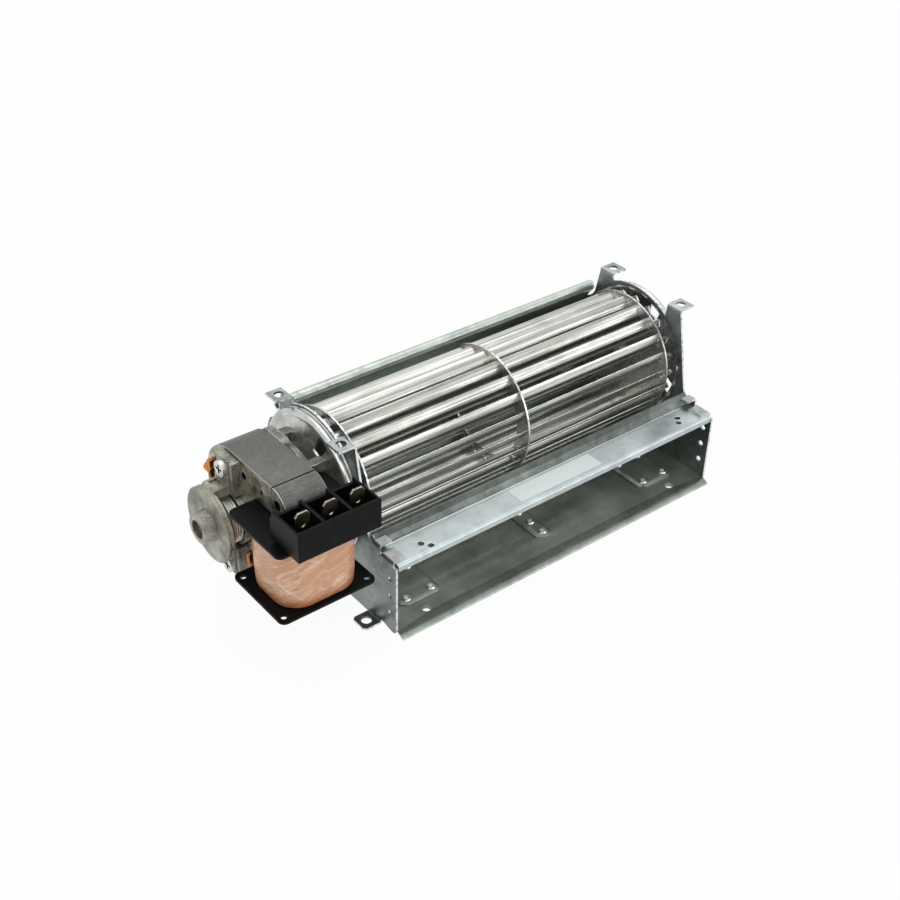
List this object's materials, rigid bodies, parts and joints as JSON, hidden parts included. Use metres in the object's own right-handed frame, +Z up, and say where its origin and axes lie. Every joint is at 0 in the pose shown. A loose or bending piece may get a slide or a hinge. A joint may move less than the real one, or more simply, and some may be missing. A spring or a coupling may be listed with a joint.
{
  "type": "cross flow fan",
  "caption": "Tangential blower: a long bladed drum in a folded sheet scroll with a slot outlet, turned by a shaded-pole motor on its left end.",
  "frame": {"origin": "midway between the two foot holes, on the undersides of the feet", "axes": "+X along the shaft away from the motor, +Y from the outlet to the back, +Z up towards the top lugs"},
  "size_m": [0.2478, 0.099, 0.082],
  "materials": {
    "galvanised_sheet": "galvanised sheet, dull, with bright cut edges",
    "blade_aluminium": "bright rolled aluminium strip",
    "lamination_steel": "oiled laminations",
    "turned_steel": "ground steel",
    "zinc_casting": "matte die casting",
    "bearing_bronze": "sintered bronze",
    "spring_steel": "spring steel",
    "oil_felt": "oiled felt",
    "copper_ring": "bare copper",
    "coil_tape": "copper wire under clear tape",
    "bobbin_plastic": "satin black moulding",
    "terminal_brass": "tinned brass",
    "zinc_screws": "zinc plated",
    "grommet_rubber": "black rubber"
  },
  "bodies": {
    "housing": {"scroll_housing": "galvanised_sheet", "duct_top_plate": "galvanised_sheet", "left_end_plate": "galvanised_sheet", "right_end_plate": "galvanised_sheet", "stator_stack": "lamination_steel", "coil_core_stack": "lamination_steel", "outer_bracket": "zinc_casting", "inner_bracket": "zinc_casting", "outer_bearing": "bearing_bronze", "inner_bearing": "bearing_bronze", "right_bearing": "bearing_bronze", "outer_retainer": "spring_steel", "outer_felt": "oil_felt", "shading_ring_upper": "copper_ring", "shading_ring_lower": "copper_ring", "coil_winding": "coil_tape", "coil_bobbin": "bobbin_plastic", "terminal_1": "terminal_brass", "terminal_2": "terminal_brass", "terminal_3": "terminal_brass", "motor_screws": "zinc_screws", "right_grommet": "grommet_rubber"},
    "impeller": {"blade_01": "blade_aluminium", "blade_02": "blade_aluminium", "blade_03": "blade_aluminium", "blade_04": "blade_aluminium", "blade_05": "blade_aluminium", "blade_06": "blade_aluminium", "blade_07": "blade_aluminium", "blade_08": "blade_aluminium", "blade_09": "blade_aluminium", "blade_10": "blade_aluminium", "blade_11": "blade_aluminium", "blade_12": "blade_aluminium", "blade_13": "blade_aluminium", "blade_14": "blade_aluminium", "blade_15": "blade_aluminium", "blade_16": "blade_aluminium", "blade_17": "blade_aluminium", "blade_18": "blade_aluminium", "blade_19": "blade_aluminium", "blade_20": "blade_aluminium", "blade_21": "blade_aluminium", "left_end_disc": "blade_aluminium", "centre_ring": "blade_aluminium", "right_end_disc": "blade_aluminium", "rotor_core": "lamination_steel", "rotor_shaft": "turned_steel", "left_hub": "turned_steel", "stub_shaft": "turned_steel"}
  },
  "joints": [
    {"name": "impeller_spin", "type": "hinge", "parent": "housing", "child": "impeller", "pos_m": [0, 0.041, 0.047], "axis": [-1, 0, 0], "continuous": true}
  ]
}
